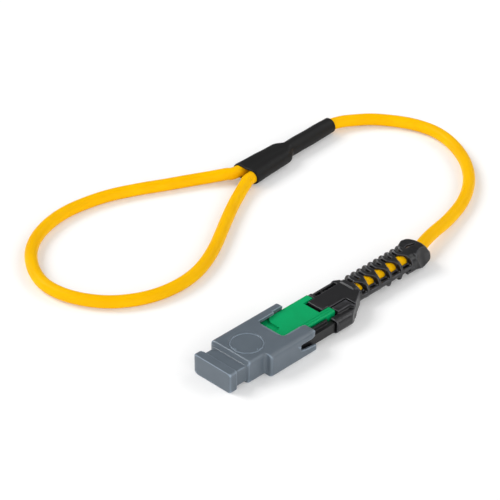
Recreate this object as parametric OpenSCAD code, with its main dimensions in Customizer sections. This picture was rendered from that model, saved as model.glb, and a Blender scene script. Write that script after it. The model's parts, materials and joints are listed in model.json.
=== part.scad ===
// Multi-fibre loopback plug with a push-pull boot, a dust cap and a jacketed fibre loop.
// Millimetres. +X runs along the plug from its nose to its cable, +Z is up.
// The origin lies in the mating plane of the ferrule, on the surface that the plug rests on.

/* [Cable] */
// Diameter of the jacketed cable
cable_d = 2.0; // [1.8:0.1:2.1]
// Wall of the cable jacket
jacket_wall = 0.35; // [0.25:0.05:0.45]

/* [Front housing] */
// Width of the green housing across the fibres
housing_w = 5.8; // [5.7:0.1:6.2]
// Thickness of the green housing
housing_t = 2.5; // [2.5:0.05:2.8]
// Distance from the mating plane back to the housing's nose
housing_setback = 0.6; // [0.4:0.1:0.9]
// Distance from the mating plane to the rear edge of the housing's top wall
housing_web_end = 13.0; // [12.4:0.1:13.3]
// Length of the two rear prongs behind that edge
prong_l = 2.0; // [1.6:0.1:2.4]
// Width of each rear prong
prong_w = 1.26; // [1.1:0.02:1.3]
// Length of the keying pocket in the top of the nose
key_pocket_l = 5.6; // [4.6:0.1:6.2]
// Depth of the keying pocket
key_pocket_depth = 0.3; // [0.2:0.05:0.35]
// Height of the two fine ridges on the latch side
ridge_h = 0.06; // [0.04:0.01:0.08]

/* [Ferrule] */
// Width of the ferrule
ferrule_w = 4.2; // [4.0:0.1:4.3]
// Thickness of the ferrule
ferrule_t = 1.2; // [1.1:0.05:1.2]
// Length of the ferrule's slim front part
ferrule_nose_l = 5.6; // [5.0:0.1:6.0]
// Length of the ferrule's rear flange
flange_l = 1.2; // [1.0:0.1:1.4]
// How far the flange stands out past the slim part on each side
flange_step = 0.15; // [0.13:0.01:0.16]
// Diameter of the two guide holes
guide_hole_d = 0.55; // [0.5:0.01:0.6]
// Distance between the two guide holes
guide_pitch = 3.4; // [3.3:0.05:3.4]
// Slant of the polished end face, in degrees
polish_angle = 8; // [0:1:9]
// Number of fibres in the row
fibre_count = 8; // [4:1:8]
// Distance between neighbouring fibres
fibre_pitch = 0.25; // [0.2:0.01:0.25]
// Diameter of one bare fibre
fibre_d = 0.125; // [0.1:0.005:0.15]
// How far the ferrule is pushed back when it mates
ferrule_travel = 0.8; // [0.5:0.1:1.0]

/* [Spring and rear body] */
// Wire diameter of the ferrule spring
spring_wire = 0.2; // [0.16:0.02:0.22]
// Number of turns of the ferrule spring
spring_turns = 5; // [4:1:6]
// Length of the ferrule spring at rest
spring_l = 3.2; // [3.0:0.1:3.4]
// Length of the spring seat behind the ferrule
spring_seat_l = 0.8; // [0.6:0.1:1.0]
// Wall of the crimp post
post_wall = 0.16; // [0.12:0.01:0.18]
// Length of the crimp post
post_l = 1.8; // [1.6:0.1:2.0]
// Wall of the crimp ring
ring_wall = 0.2; // [0.16:0.01:0.22]
// Thickness of the aramid yarn under the crimp ring
yarn_t = 0.13; // [0.1:0.01:0.14]

/* [Latch arm] */
// Free gap between the housing and the latch arm
latch_gap = 0.35; // [0.35:0.01:0.42]
// Thickness of the latch arm at its catch
latch_t = 1.0; // [0.9:0.05:1.1]
// Height of the latch arm
latch_h = 1.6; // [1.4:0.05:1.7]
// Height of the thin fin along the arm's inner edge
latch_fin_h = 0.65; // [0.4:0.05:0.7]
// Reach of the latch arm ahead of its pivot
latch_l = 13.6; // [12.6:0.1:14.0]
// Radius of the round head that the arm turns on
latch_head_r = 0.5; // [0.45:0.05:0.55]
// Angle through which the boot turns the arm, in degrees
latch_swing = 1.4; // [1:0.1:1.4]

/* [Dust cap] */
// Top and bottom wall of the dust cap
cap_wall = 0.5; // [0.45:0.05:0.6]
// Wall of the dust cap on the side away from the latch
cap_side_wall = 0.7; // [0.6:0.05:0.8]
// Wall of the dust cap on the latch side
cap_latch_wall = 0.5; // [0.45:0.05:0.6]
// Width of the grip plate
grip_w = 7.1; // [6.6:0.1:7.3]
// Height of the grip plate
grip_h = 3.3; // [3.0:0.1:3.5]
// Thickness of the grip plate
grip_t = 1.5; // [1.2:0.1:1.7]
// Length of the neck between the grip plate and the cap's body
neck_l = 2.0; // [1.6:0.1:2.4]
// Length of the narrow part of the cap's body
cap_narrow_l = 3.4; // [3.0:0.1:3.6]
// Length of the cap's wide part, up to the end of its latch-side finger
cap_wide_l = 9.25; // [8.8:0.05:9.6]
// How much longer the finger on the far side is
far_finger_extra = 1.1; // [0.8:0.1:1.4]
// Distance from the step to the front of the notch in the top wall
notch_start = 4.7; // [4.2:0.1:5.2]
// Width of the notch in the top wall
notch_w = 4.8; // [4.4:0.1:5.0]
// Diameter of the bare round field on top
roundel_d = 5.4; // [5.0:0.1:5.8]

/* [Boot] */
// Wall of the boot's shell
boot_wall = 0.35; // [0.3:0.05:0.35]
// Wall of the hood over the latch arm
hood_wall = 0.3; // [0.26:0.02:0.36]
// Width of the centre tongue of the boot
tongue_w = 2.9; // [2.5:0.1:3.0]
// Travel of the boot when it is pulled
boot_travel = 1.5; // [1.2:0.1:1.6]
// Length of the boot's shell behind the housing's prongs
shell_l = 6.2; // [6.0:0.1:6.4]
// Reach of the hood over the latch arm, ahead of the shell
hood_l = 1.5; // [1.2:0.1:2.0]
// Half width of the strain relief
relief_half_w = 2.1; // [2.0:0.05:2.3]
// Half height of the strain relief
relief_half_h = 1.45; // [1.4:0.05:1.6]
// Wall of the tube inside the strain relief
relief_wall = 0.22; // [0.18:0.02:0.26]
// Distance between neighbouring ribs
rib_pitch = 1.24; // [1.2:0.01:1.28]
// Width of each rib
rib_w = 0.86; // [0.74:0.02:0.92]
// Number of ribs
rib_count = 10; // [8:2:10]
// Length of the flared collar at the cable's end
collar_l = 4.1; // [3.7:0.1:4.4]
// Half width of the flared collar
collar_half_w = 2.5; // [2.4:0.05:2.6]

/* [Shrink sleeve] */
// Wall of the shrink sleeve
sleeve_wall = 0.28; // [0.22:0.02:0.34]
// Length of the sleeve's wide part over the two legs
sleeve_wide_l = 8.7; // [8:0.1:10]
// Length of the shoulder between the wide and the slim part
sleeve_shoulder_l = 1.7; // [1.2:0.1:2.4]
// Length of the sleeve's slim part over the single cable
sleeve_slim_l = 10.6; // [9:0.1:11]

/* [Fits] */
// Clearance between the dust cap and the housing
cap_clearance = 0.1; // [0.08:0.01:0.14]
// Clearance beside the latch arm
latch_clearance = 0.2; // [0.15:0.05:0.25]
// Sliding clearance round the ferrule and the rear body
slide_clearance = 0.05; // [0.04:0.01:0.06]
// Radial clearance of the boot round the cable and the crimp
boot_clearance = 0.1; // [0.08:0.01:0.14]
// Radial clearance of the latch arm's head in its socket
pivot_clearance = 0.04; // [0.03:0.01:0.06]
// Gap between the housing's prongs and the boot's shell
boot_gap = 0.2; // [0.15:0.05:0.3]

/* [Hidden] */
$fn = 64;
eps = 0.01;

cable_r = cable_d / 2;
cap_h = housing_t + 2 * (cap_clearance + cap_wall);
axis_z = cap_h / 2;

// Housing
housing_half_w = housing_w / 2;
housing_top = axis_z + housing_t / 2;
housing_end = housing_web_end + prong_l;
housing_round = 0.25;
fork_half = housing_half_w - prong_w;
key_pocket_end = housing_setback + key_pocket_l;
key_pocket_side = -0.4;

// Ferrule and its bay
flange_w = ferrule_w + 2 * flange_step;
flange_t = ferrule_t + 2 * flange_step;
bay_w = flange_w + 4 * slide_clearance;
bay_t = flange_t + 2 * slide_clearance;
ferrule_end = ferrule_nose_l + flange_l;
ribbon_w = fibre_count * fibre_pitch + 0.1;
ribbon_t = 0.24;
ribbon_slot_w = ribbon_w + 0.2;
ribbon_slot_t = ribbon_t + 0.2;
ribbon_front = ferrule_end - 2.2;
ribbon_tail = 0.6;
fibre_bore_r = fibre_d / 2 + 0.01;
rubber_w = ribbon_w + 0.28;
rubber_t = ribbon_t + 0.36;
seat_start = ferrule_end;
spring_start = seat_start + spring_seat_l;
spring_end = spring_start + spring_l;
spring_outer_w = flange_w - 0.1;
spring_outer_t = flange_t;

// Rear body
plug_w = bay_w - 2 * slide_clearance;
plug_t = bay_t - 2 * slide_clearance;
collar_start = housing_end + 0.1;
rear_block_end = collar_start + 2.9;
ring_outer_r = housing_t / 2 - boot_wall - slide_clearance;
ring_inner_r = ring_outer_r - ring_wall;
post_outer_r = ring_inner_r - yarn_t;
post_inner_r = post_outer_r - post_wall;
post_end = rear_block_end + post_l;
yarn_start = rear_block_end + 0.3;
jacket_start = post_end + 0.1;

// Latch arm
latch_inner_y = -(housing_half_w + latch_gap);
latch_outer_y = latch_inner_y - latch_t;
latch_pivot_x = housing_end + 1.0;
latch_pivot_y = (latch_inner_y + latch_outer_y) / 2 + 0.15;
latch_tip_x = latch_pivot_x - latch_l;
latch_neck_half = 0.26;
socket_r = latch_head_r + pivot_clearance;
latch_z0 = axis_z - housing_t / 2;
latch_z1 = latch_z0 + latch_h;
lug_reach = latch_outer_y - latch_clearance + slide_clearance;

// Dust cap
cap_half_w = housing_half_w + cap_clearance + cap_side_wall;
cap_bay_near = latch_outer_y - latch_clearance;
cap_near = cap_bay_near - cap_latch_wall;
cap_step_x = -0.3;
cap_body_x = cap_step_x - cap_narrow_l;
cap_front = cap_body_x - neck_l - grip_t;
cap_near_end = cap_step_x + cap_wide_l;
cap_far_end = cap_near_end + far_finger_extra;
cap_lip_end = cap_near_end - 0.65;
cap_bay_front = -0.9;
notch_x = cap_step_x + notch_start;
notch_far = notch_w / 2 - 0.2;
notch_near = notch_far - notch_w;
notch_round = 0.6;
cap_round = 0.42;
cap_edge_round = 0.7;
neck_inset = 0.32;
side_slot_x = cap_near_end - 3.1;

// Boot
boot_front = housing_end + boot_gap;
boot_bottom = axis_z - housing_t / 2;
boot_top = housing_top;
boot_h = boot_top - boot_bottom;
boot_bay_half = plug_w / 2 + boot_clearance;
boot_far = boot_bay_half + boot_wall;
shelf_near = latch_inner_y - 0.15;
hood_front = boot_front - hood_l;
hood_round = 0.85;
hood_near = cap_bay_near - hood_wall;
hood_bottom = latch_z0 - cap_clearance - hood_wall;
hood_top = latch_z1 + cap_clearance + hood_wall;
pocket_end = latch_pivot_x + latch_head_r + 0.4;
shell_end = boot_front + shell_l;
shoulder_x = pocket_end + 1.1;
shoulder_reach = 4.1;
boot_slot_start = boot_front + 0.5;
boot_slot_near = tongue_w / 2 + 0.15;
mouth_flare = 1.25;
relief_round = 0.95;
hoop_round = 1.35;
hoop_w = 0.7;
spread_shift = 0.11;
boot_bore_r = cable_r + boot_clearance;
tube_r = boot_bore_r + relief_wall;
first_rib_x = shell_end + 1.38;
rib_end = first_rib_x + (rib_count - 1) * rib_pitch;
collar_x = rib_end + 0.35;
// Reach of the collar's round rear behind its oval centre
collar_rear = 2.5;
boot_end = collar_x + collar_l;

// Cable route: the held stretch ends inside the flared collar
cable_exit_x = 34.3;
// Trunk from the collar round to the sleeve
trunk_route = [
  [34.3, 0, 1.85], [36.3, 0.15, 1.85], [38.3, 0.75, 1.85], [40.6, 1.5, 1.75],
  [43.4, 2.2, 1.6], [46.6, 2.95, 1.3], [50, 3.95, 1.1], [53.4, 5.2, 1],
  [56.8, 7, 1], [60, 9.4, 1], [62.8, 12.4, 1], [65, 15.8, 1],
  [66.5, 19.4, 1], [67.1, 23, 1], [66.5, 26.6, 1], [64.9, 30, 1],
  [62.6, 32.9, 1.1], [60, 34.8, 1.2], [58.1, 35.8, 1.3], [55.8, 36.3, 1.4],
  [53.9, 36.2, 1.4], [50.1, 36, 1.4]
];
// Loop from the sleeve's near leg round and back to its far leg
loop_route = [
  [41.2, 34.4, 1.4], [34.2, 33.7, 1.4], [32.9, 33.25, 1.3], [31.2, 32.5, 1.1],
  [27.4, 30.5, 1], [23.6, 28.2, 1], [20, 25.9, 1], [16.4, 23.7, 1], [12.8, 21.9, 1],
  [9.2, 20.7, 1], [5.4, 20.3, 1], [1.6, 20.8, 1], [-1.8, 22.2, 1], [-4.8, 24.5, 1],
  [-7, 27.6, 1], [-8.3, 31.2, 1], [-8.4, 35, 1], [-7, 38.9, 1], [-4.4, 42.6, 1],
  [-1, 45.3, 1], [3, 47, 1], [7.2, 47.7, 1], [11.4, 47.4, 1], [15.6, 46.4, 1],
  [19.8, 44.6, 1], [24, 42.4, 1], [28, 40.4, 1], [30.4, 39, 1.1], [32.6, 37.6, 1.3],
  [34.3, 36.65, 1.4], [41.7, 36.65, 1.4]
];
cord_sides = 8;
// Sleeve along its own axis, from its mouth to its slim end
sleeve_mouth = [34.8, 35.2, 1.4];
sleeve_turn = 3;
leg_offset = cable_r + 0.03;
// The legs part a little towards the sleeve's mouth
mouth_spread = 0.4;
// The shrunk wall is thicker where the sleeve is slim
slim_extra = 0.07;
sleeve_l = sleeve_wide_l + sleeve_shoulder_l + sleeve_slim_l;
sleeve_bore_r = cable_r + 0.05;
sleeve_sides = 28;

// ---------- helpers ----------

// Extrudes a Y-Z profile along X
module along_x(x0, x1) {
  translate([x0, 0, 0])
    rotate([90, 0, 90])
      linear_extrude(x1 - x0)
        children();
}

// Extrudes an X-Z profile along Y
module along_y(y0, y1) {
  translate([0, y1, 0])
    rotate([90, 0, 0])
      linear_extrude(y1 - y0)
        children();
}

// Extrudes an X-Y outline along Z
module along_z(z0, z1) {
  translate([0, 0, z0])
    linear_extrude(z1 - z0)
      children();
}

// Box from its lowest to its highest corner
module block(lo, hi) {
  translate(lo)
    cube(hi - lo);
}

// Rectangle with round corners, from its lowest to its highest corner
module soft_rect(lo, hi, r) {
  translate([lo.x + r, lo.y])
    square([hi.x - lo.x - 2 * r, hi.y - lo.y]);
  translate([lo.x, lo.y + r])
    square([hi.x - lo.x, hi.y - lo.y - 2 * r]);
  for (x = [lo.x + r, hi.x - r])
    for (y = [lo.y + r, hi.y - r])
      translate([x, y])
        circle(r);
}

// Cylinder along X on the plug's axis
module axial(x0, x1, r) {
  translate([x0, 0, axis_z])
    rotate([0, 90, 0])
      cylinder(h = x1 - x0, r = r);
}

// Box centred on the plug's axis in Y and Z
module axial_box(x0, x1, w, t) {
  block([x0, -w / 2, axis_z - t / 2], [x1, w / 2, axis_z + t / 2]);
}

// Polyhedron skin over rings of equal point counts, closed at both ends
module skin(rings) {
  sides = len(rings[0]);
  count = len(rings);
  points = [for (ring = rings) for (p = ring) p];
  walls = [
    for (i = [0:count - 2])
      for (j = [0:sides - 1])
        [i * sides + j, i * sides + (j + 1) % sides,
         (i + 1) * sides + (j + 1) % sides, (i + 1) * sides + j]
  ];
  start_cap = [[for (j = [sides - 1:-1:0]) j]];
  end_cap = [[for (j = [0:sides - 1]) (count - 1) * sides + j]];
  polyhedron(points = points, faces = concat(walls, start_cap, end_cap), convexity = 10);
}

function unit(v) = v / norm(v);
function route_dir(route, i) =
  unit(route[min(i + 1, len(route) - 1)] - route[max(i - 1, 0)]);
function side_of(dir) = unit(cross(dir, [0, 0, 1]));

// Ring of a round cord at one point of its route
function cord_ring(centre, dir, r, sides) = [
  for (j = [0:sides - 1])
    let (a = -360 * (j + 0.5) / sides)
      centre + r * (cos(a) * side_of(dir) + sin(a) * cross(side_of(dir), dir))
];

module cord(route, first_dir, last_dir) {
  last = len(route) - 1;
  skin([
    for (i = [0:last])
      let (dir = i == 0 ? first_dir : i == last ? last_dir : route_dir(route, i))
        cord_ring(route[i], dir, cable_r, cord_sides)
  ]);
}

// ---------- dust cap ----------

module cap_grip() {
  intersection() {
    along_z(0, grip_h)
      soft_rect([cap_front, -grip_w / 2], [cap_front + grip_t, grip_w / 2], 0.3);
    along_x(cap_front - eps, cap_front + grip_t + eps)
      soft_rect([-grip_w / 2, 0], [grip_w / 2, grip_h], 0.3);
  }
}

module cap_neck() {
  intersection() {
    along_z(neck_inset, grip_h - neck_inset)
      soft_rect(
        [cap_front + grip_t / 2, neck_inset - grip_w / 2],
        [cap_body_x + 0.6, grip_w / 2 - neck_inset], 0.2);
    along_x(cap_front, cap_body_x + 0.7)
      soft_rect(
        [neck_inset - grip_w / 2, neck_inset],
        [grip_w / 2 - neck_inset, grip_h - neck_inset], 0.2);
  }
}

module cap_body() {
  difference() {
    union() {
      intersection() {
        along_z(0, cap_h)
          soft_rect([cap_body_x, -cap_half_w], [cap_far_end, cap_half_w], cap_round);
        along_x(cap_body_x - eps, cap_far_end + eps)
          soft_rect([-cap_half_w, 0], [cap_half_w, cap_h], cap_round);
      }
      intersection() {
        along_z(0, cap_h)
          cap_wide_outline();
        along_x(cap_step_x - eps, cap_near_end + eps)
          union() {
            soft_rect([cap_near, 0.9], [0, cap_h], cap_edge_round);
            soft_rect([cap_near, 0], [0, 2], 0.35);
          }
      }
      cap_step_fillet();
    }
    // Ramp along the front top edge
    along_y(-cap_half_w - 1, cap_half_w + 1)
      polygon([
        [cap_body_x - 0.2, cap_h - 0.9], [cap_body_x + 0.42, cap_h + 0.1],
        [cap_body_x - 0.2, cap_h + 0.1]
      ]);
  }
}

// Outline of the wide part, with the round end of the latch-side finger
module cap_wide_outline() {
  r = 1.1;
  soft_rect([cap_step_x, cap_near], [cap_near_end - r, 0], cap_round);
  translate([cap_near_end - r, cap_near + r])
    circle(r);
  translate([cap_near_end - 2 * r, cap_near])
    square([r, 1]);
  translate([cap_near_end - 2 * r, cap_near + r])
    square([2 * r, -cap_near - r]);
}

// Hollow corner where the narrow part meets the wide part
module cap_step_fillet() {
  r = 0.5;
  difference() {
    block(
      [cap_step_x - r, -cap_half_w - r, 0.3],
      [cap_step_x + cap_round, -cap_half_w + cap_round, cap_h - 0.3]);
    translate([cap_step_x - r, -cap_half_w - r, 0])
      cylinder(h = cap_h, r = r);
  }
}

// Room for the housing and for the latch arm beside it
module cap_bay() {
  half = housing_half_w + cap_clearance;
  half_t = housing_t / 2 + cap_clearance;
  block([cap_bay_front, -half, axis_z - half_t], [cap_far_end + 1, half, axis_z + half_t]);
  block(
    [latch_tip_x - 0.4, cap_bay_near, latch_z0 - cap_clearance],
    [cap_far_end + 1, -half + 0.5, latch_z1 + latch_fin_h + cap_clearance]);
}

// Notch that leaves the housing's top bare, open towards the rear
module cap_notch() {
  along_z(axis_z, cap_h + 1)
    soft_rect([notch_x, notch_near], [cap_far_end + 2, notch_far], notch_round);
  // The far finger is thinner towards its tip
  along_z(axis_z, cap_h + 1)
    soft_rect([notch_x + 3.5, notch_near], [cap_far_end + 2, notch_far + 0.55], 0.25);
  // The latch-side finger ends before the far one
  block([cap_near_end, cap_near - 1, axis_z], [cap_far_end + 2, notch_far, cap_h + 1]);
  // The underside ends before both fingers
  along_z(-1, axis_z)
    translate([cap_lip_end, cap_near - 1])
      square([10, cap_half_w - cap_near + 2]);
}

// Slot in the latch-side wall, with a lip that falls away to the rear
module cap_side_slot() {
  along_y(cap_near - 1, cap_bay_near + 0.3)
    polygon([
      [side_slot_x, axis_z - 0.3], [side_slot_x, axis_z + 0.65],
      [cap_far_end + 2, axis_z + 0.65], [cap_far_end + 2, axis_z - 1.5],
      [cap_lip_end, axis_z - 0.8]
    ]);
}

// Rounds both fingers' ends, seen from the side, and the inner corners, seen from above
module cap_finger_round() {
  end_round(cap_near_end, 1, cap_near - 1, notch_near + 0.1);
  end_round(cap_far_end, 0.5, notch_far, cap_half_w + 1);
  finger_corner(cap_near_end, notch_near, 0.4, 1);
  finger_corner(cap_far_end, notch_far + 0.55, 0.25, -1);
}

// Takes the square top corner off a finger that ends at x
module end_round(x, r, y0, y1) {
  along_y(y0, y1)
    difference() {
      translate([x - r, cap_h - r])
        square([r + 1, r + 1]);
      translate([x - r, cap_h - r])
        circle(r);
    }
}

// Takes the square inner corner off a finger; the finger lies below y for side 1
module finger_corner(x, y, r, side) {
  translate([x - r, y - side * r, axis_z])
    scale([1, side, 1])
      along_z(0, cap_h)
        difference() {
          square(r + 0.5);
          circle(r);
        }
}

// Bare round field: a shallow recess with a plain raised disc
module cap_roundel() {
  centre_x = cap_step_x - 0.1;
  depth = 0.09;
  translate([centre_x, 0, cap_h - depth])
    difference() {
      cylinder(h = 1, r = roundel_d / 2);
      translate([0, 0, -1])
        cylinder(h = 1 + depth * 0.6, r = roundel_d / 2 - 0.42);
    }
}

module dust_cap() {
  color("slategray")
    difference() {
      union() {
        cap_grip();
        cap_neck();
        cap_body();
      }
      cap_bay();
      cap_notch();
      cap_side_slot();
      cap_finger_round();
      cap_roundel();
    }
}

// ---------- front housing ----------

module housing_outside() {
  intersection() {
    along_x(housing_setback, housing_end)
      soft_rect(
        [-housing_half_w, axis_z - housing_t / 2],
        [housing_half_w, housing_top], housing_round);
    along_z(-1, cap_h + 1)
      soft_rect(
        [housing_setback, -housing_half_w],
        [housing_end + 1, housing_half_w], 0.3);
  }
}

module front_housing() {
  color("seagreen")
    difference() {
      union() {
        housing_outside();
        // Fine ridges beside the latch
        for (y = [0.35, 0.85])
          along_z(housing_top - 0.1, housing_top + ridge_h)
            soft_rect(
              [housing_web_end - 4, -housing_half_w + y],
              [housing_end - 0.15, -housing_half_w + y + 0.18], 0.08);
      }
      // Ferrule bay: slim at the nose, wider behind the flange's stop
      axial_box(
        -1, housing_end + 1,
        ferrule_w + 2 * slide_clearance, ferrule_t + 2 * slide_clearance);
      axial_box(ferrule_nose_l - slide_clearance, housing_end + 1, bay_w, bay_t);
      // Fork between the rear prongs, with a lower lip at its root
      block(
        [housing_web_end + 0.35, -fork_half, -1],
        [housing_end + 1, fork_half, cap_h + 1]);
      block(
        [housing_web_end, -fork_half, housing_top - 0.3],
        [housing_end + 1, fork_half, cap_h + 1]);
      housing_key_pocket();
    }
}

// Shallow pocket in the nose's top, with a round corner at the raised block
module housing_key_pocket() {
  floor_z = housing_top - key_pocket_depth;
  along_z(floor_z, cap_h + 1)
    soft_rect([housing_setback - 2, key_pocket_side], [key_pocket_end, housing_half_w + 1], 0.5);
  difference() {
    block([key_pocket_end - 1, 1.6, floor_z], [key_pocket_end + 1.6, housing_half_w + 1, cap_h + 1]);
    translate([key_pocket_end + 1.6, housing_half_w - 1.6, floor_z - 1])
      cylinder(h = 4, r = 1.6);
    block(
      [key_pocket_end, -1, floor_z - 1],
      [key_pocket_end + 2, housing_half_w - 1.6, cap_h + 2]);
  }
}

// ---------- ferrule and what it carries ----------

function fibre_y(i) = (i - (fibre_count - 1) / 2) * fibre_pitch;

// All that lies ahead of the slanted end face
module ahead_of_end_face() {
  translate([0, 0, axis_z])
    rotate([0, polish_angle, 0])
      block([-2, -5, -3], [0, 5, 3]);
}

module ferrule() {
  color("darkolivegreen")
    difference() {
      union() {
        axial_box(-0.3, ferrule_nose_l + 0.2, ferrule_w, ferrule_t);
        axial_box(ferrule_nose_l, ferrule_end, flange_w, flange_t);
      }
      // Slanted end face
      ahead_of_end_face();
      for (side = [-1, 1])
        translate([-1, side * guide_pitch / 2, axis_z])
          rotate([0, 90, 0])
            cylinder(h = ferrule_end + 2, r = guide_hole_d / 2);
      // Mouth at the rear for the rubber boot and the fibres
      axial_box(ribbon_front - 0.2, ferrule_end + 1, rubber_w + 0.06, rubber_t + 0.06);
      // Bores of the fibres
      for (i = [0:fibre_count - 1])
        translate([0, fibre_y(i), 0])
          axial(-1, ribbon_front, fibre_bore_r);
      // Window over the fibres
      block([2.4, -1.1, axis_z + 0.15], [3.8, 1.1, axis_z + 2]);
    }
}

// Ribbon that narrows to pass the crimp post, with its bare fibres in the ferrule
module fibre_ribbon() {
  waist_x = rear_block_end - 2.4;
  waist_w = 0.56;
  tail_x = jacket_start + ribbon_tail;
  color("gold") {
    along_z(axis_z - ribbon_t / 2, axis_z + ribbon_t / 2)
      polygon([
        [ribbon_front, -ribbon_w / 2], [spring_start, -ribbon_w / 2],
        [waist_x, -waist_w / 2], [tail_x, -waist_w / 2], [tail_x, waist_w / 2],
        [waist_x, waist_w / 2], [spring_start, ribbon_w / 2], [ribbon_front, ribbon_w / 2]
      ]);
    difference() {
      for (i = [0:fibre_count - 1])
        translate([0, fibre_y(i), 0])
          axial(-0.3, ribbon_front + 0.2, fibre_d / 2);
      ahead_of_end_face();
    }
  }
}

module ribbon_slot(x0, x1) {
  axial_box(x0, x1, ribbon_slot_w, ribbon_slot_t);
}

module ferrule_boot() {
  color("dimgray")
    difference() {
      axial_box(ribbon_front + 0.2, ferrule_end, rubber_w, rubber_t);
      axial_box(ribbon_front, ferrule_end + 1, ribbon_w + 0.04, ribbon_t + 0.04);
    }
}

module spring_seat() {
  color("black")
    difference() {
      union() {
        axial_box(seat_start, spring_start, flange_w, flange_t);
        axial_box(spring_start - eps, spring_start + 0.4, spring_outer_w - 0.8, flange_t - 0.7);
      }
      ribbon_slot(seat_start - 1, spring_start + 1);
    }
}

// Flattened coil: the wire's centre follows an oval of constant wire clearance
function coil_point(t) =
  let (
    a = 360 * spring_turns * t,
    half_w = (spring_outer_w - spring_wire) / 2,
    half_t = (spring_outer_t - spring_wire) / 2,
    rise = spring_l - spring_wire
  )
  [
    spring_start + spring_wire / 2 + rise * t,
    half_w * sign(cos(a)) * pow(abs(cos(a)), 0.7),
    axis_z + half_t * sign(sin(a)) * pow(abs(sin(a)), 0.7)
  ];

module ferrule_spring() {
  steps = 18 * spring_turns;
  sides = 6;
  color("silver")
    skin([
      for (i = [0:steps])
        let (
          here = coil_point(i / steps),
          dir = unit(coil_point((i + 0.2) / steps) - coil_point((i - 0.2) / steps)),
          out = unit(cross(dir, [1, 0, 0]))
        )
        [
          for (j = [0:sides - 1])
            let (a = -360 * j / sides)
              here + spring_wire / 2 * (cos(a) * out + sin(a) * cross(out, dir))
        ]
    ]);
}

// ---------- rear body and cable anchor ----------

module rear_body() {
  color("black")
    difference() {
      union() {
        axial_box(spring_end, rear_block_end, plug_w, plug_t);
        axial(rear_block_end - eps, post_end, post_outer_r);
        // Round root of the crimp post
        axial(rear_block_end - 0.1, yarn_start - 0.05, ring_inner_r);
        rear_lug();
        rear_stops();
      }
      axial_box(
        spring_end - 1, rear_block_end - 1.4,
        ribbon_slot_w + 0.4, ribbon_t + 0.5);
      axial(rear_block_end - 1.6, post_end + 1, post_inner_r);
      // Socket that the latch arm's head turns in
      translate([latch_pivot_x, latch_pivot_y, -1])
        cylinder(h = cap_h + 2, r = socket_r);
      latch_neck_room();
    }
}

// Side lug that carries the latch arm
module rear_lug() {
  along_z(latch_z0, latch_z1)
    soft_rect(
      [collar_start, lug_reach],
      [pocket_end - 0.15, -plug_w / 2 + 0.02], 0.2);
  block(
    [collar_start + 0.3, -plug_w / 2 - 0.2, axis_z - plug_t / 2],
    [pocket_end - 0.35, 0, latch_z1 - 0.1]);
}

// Ribs in the boot's far slots that end its travel
module rear_stops() {
  x = boot_slot_start + boot_travel + slide_clearance;
  y = (boot_slot_near + boot_bay_half) / 2;
  for (side = [-1, 1])
    translate([x, y - 0.2, axis_z - 0.25 + side * (plug_t / 2 - 0.02)])
      cube([0.4, 0.4, 0.5]);
}

// Opening of the socket that the arm's neck swings in
module latch_neck_room() {
  half = latch_neck_half + pivot_clearance
    + (latch_pivot_x - collar_start) * tan(latch_swing);
  translate([latch_pivot_x, latch_pivot_y, 0])
    block([-3, -half, -1], [0, half, cap_h + 1]);
}

module latch_arm() {
  tip = latch_tip_x;
  rear = hood_front - 0.7;
  color("black") {
    along_z(latch_z0, latch_z1)
      latch_outline();
    // Thin fin along the inner edge, ahead of the hood
    along_z(latch_z1 - 0.2, latch_z1 + latch_fin_h)
      polygon([
        [tip + 2.6, latch_inner_y], [tip + 3, latch_inner_y - 0.32],
        [rear - 0.5, latch_inner_y - 0.32], [rear, latch_inner_y]
      ]);
  }
}

// Outline of the latch arm from above: a catch at the tip, a slim neck and a round head
module latch_outline() {
  tip = latch_tip_x;
  root = latch_pivot_x - 1.4;
  translate([latch_pivot_x, latch_pivot_y])
    circle(latch_head_r);
  polygon([
    [tip, latch_outer_y + 0.4], [tip, latch_inner_y - 0.15], [tip + 0.2, latch_inner_y],
    [root - 1, latch_inner_y], [root, latch_pivot_y + latch_neck_half],
    [latch_pivot_x, latch_pivot_y + latch_neck_half], [latch_pivot_x, latch_pivot_y - latch_neck_half],
    [root, latch_pivot_y - latch_neck_half], [root - 0.5, latch_outer_y],
    [tip + 3.2, latch_outer_y], [tip + 2.9, latch_outer_y + 0.3],
    [tip + 1.7, latch_outer_y + 0.3], [tip + 1.6, latch_outer_y], [tip + 0.6, latch_outer_y]
  ]);
}

module aramid_yarn() {
  color("khaki")
    difference() {
      axial(yarn_start, post_end, ring_inner_r);
      axial(yarn_start - 1, post_end + 1, post_outer_r);
    }
}

module crimp_ring() {
  color("goldenrod")
    difference() {
      axial(yarn_start, post_end, ring_outer_r);
      axial(yarn_start - 1, post_end + 1, ring_inner_r);
    }
}

module cable_in_boot() {
  color("orange")
    difference() {
      axial(jacket_start, cable_exit_x, cable_r);
      // Room for the ribbon's tail when the ferrule is pushed back
      axial(
        jacket_start - 1, jacket_start + ribbon_tail + ferrule_travel + 0.3,
        cable_r - jacket_wall);
    }
}

// ---------- push-pull boot ----------

// Outline of the shell from above, with its slanted shoulders
module boot_outline() {
  polygon([
    [boot_front, shelf_near], [boot_front, boot_far], [shell_end - 1, boot_far],
    [shell_end, relief_half_w], [shell_end, -relief_half_w],
    [shoulder_x, -shoulder_reach], [shoulder_x - 0.3, shelf_near]
  ]);
}

// Hood on the latch side: a round-edged bulge that ends in the slanted shoulder
module boot_hood() {
  intersection() {
    along_z(hood_bottom, hood_top)
      polygon([
        [hood_front, shelf_near + 0.1], [hood_front, hood_near + 0.25],
        [hood_front + 0.25, hood_near], [pocket_end, hood_near],
        [shoulder_x, -shoulder_reach], [shoulder_x + 1.5, shelf_near + 0.2],
        [shoulder_x + 1, 0], [boot_front, 0], [boot_front, shelf_near + 0.1]
      ]);
    along_x(hood_front - 1, shell_end + 1)
      soft_rect([hood_near, hood_bottom], [1, hood_top], hood_round);
  }
}

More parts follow.
